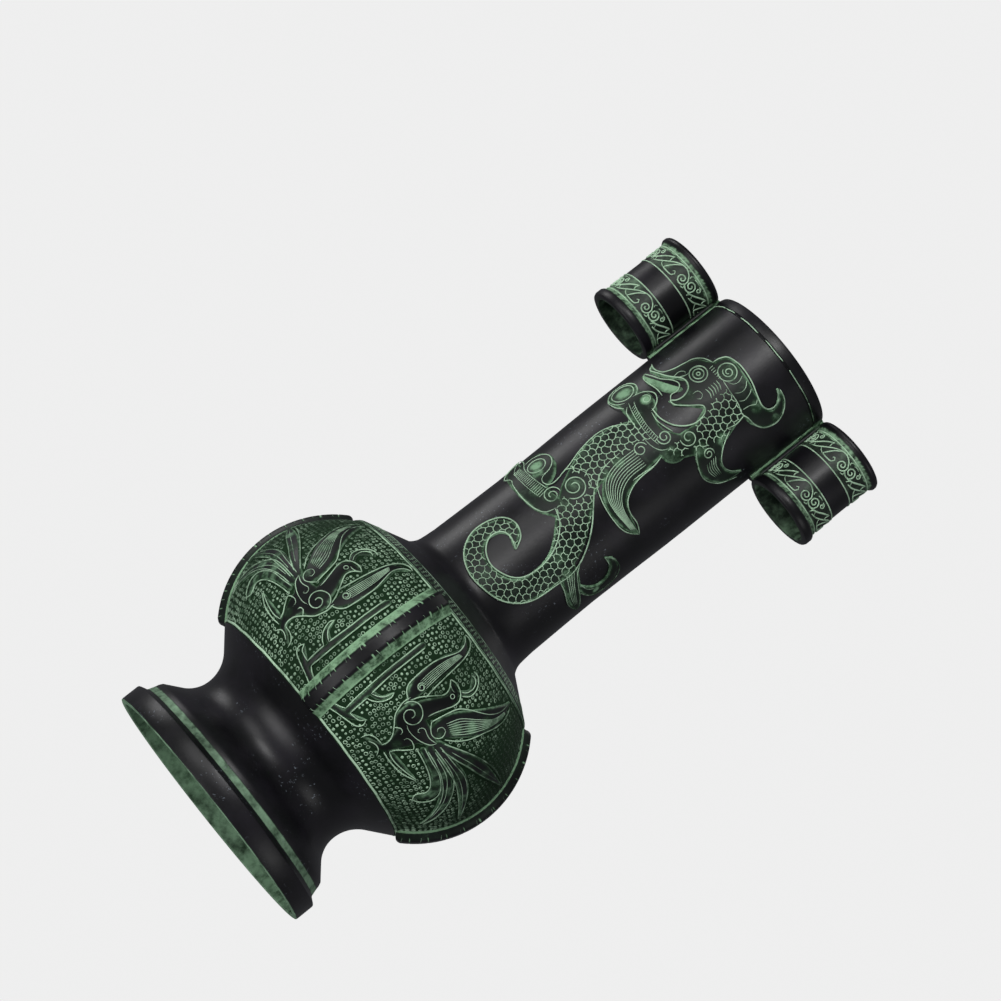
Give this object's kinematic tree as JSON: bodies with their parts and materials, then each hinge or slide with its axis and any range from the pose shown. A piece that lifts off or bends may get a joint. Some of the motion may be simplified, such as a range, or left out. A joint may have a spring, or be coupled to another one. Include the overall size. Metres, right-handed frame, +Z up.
{
  "type": "arrow vase",
  "caption": "Tall cast arrow-throwing vase with a ribbed round belly, a hollow flared foot, a long neck and two open tube ears beside the mouth, with relief ornament",
  "frame": {"origin": "centre of the foot ring's lower face, on the surface that the vase stands on", "axes": "+Z up along the vase's axis; +X towards one ear; -Y towards the side with the animal on the neck, over a rib"},
  "size_m": [0.1968, 0.1968, 0.4],
  "materials": {
    "dark_metal": "near-black satin cast metal with green patina in the recesses and on the lines"
  },
  "bodies": {
    "root": {"arrow_vase": "dark_metal"}
  },
  "joints": []
}
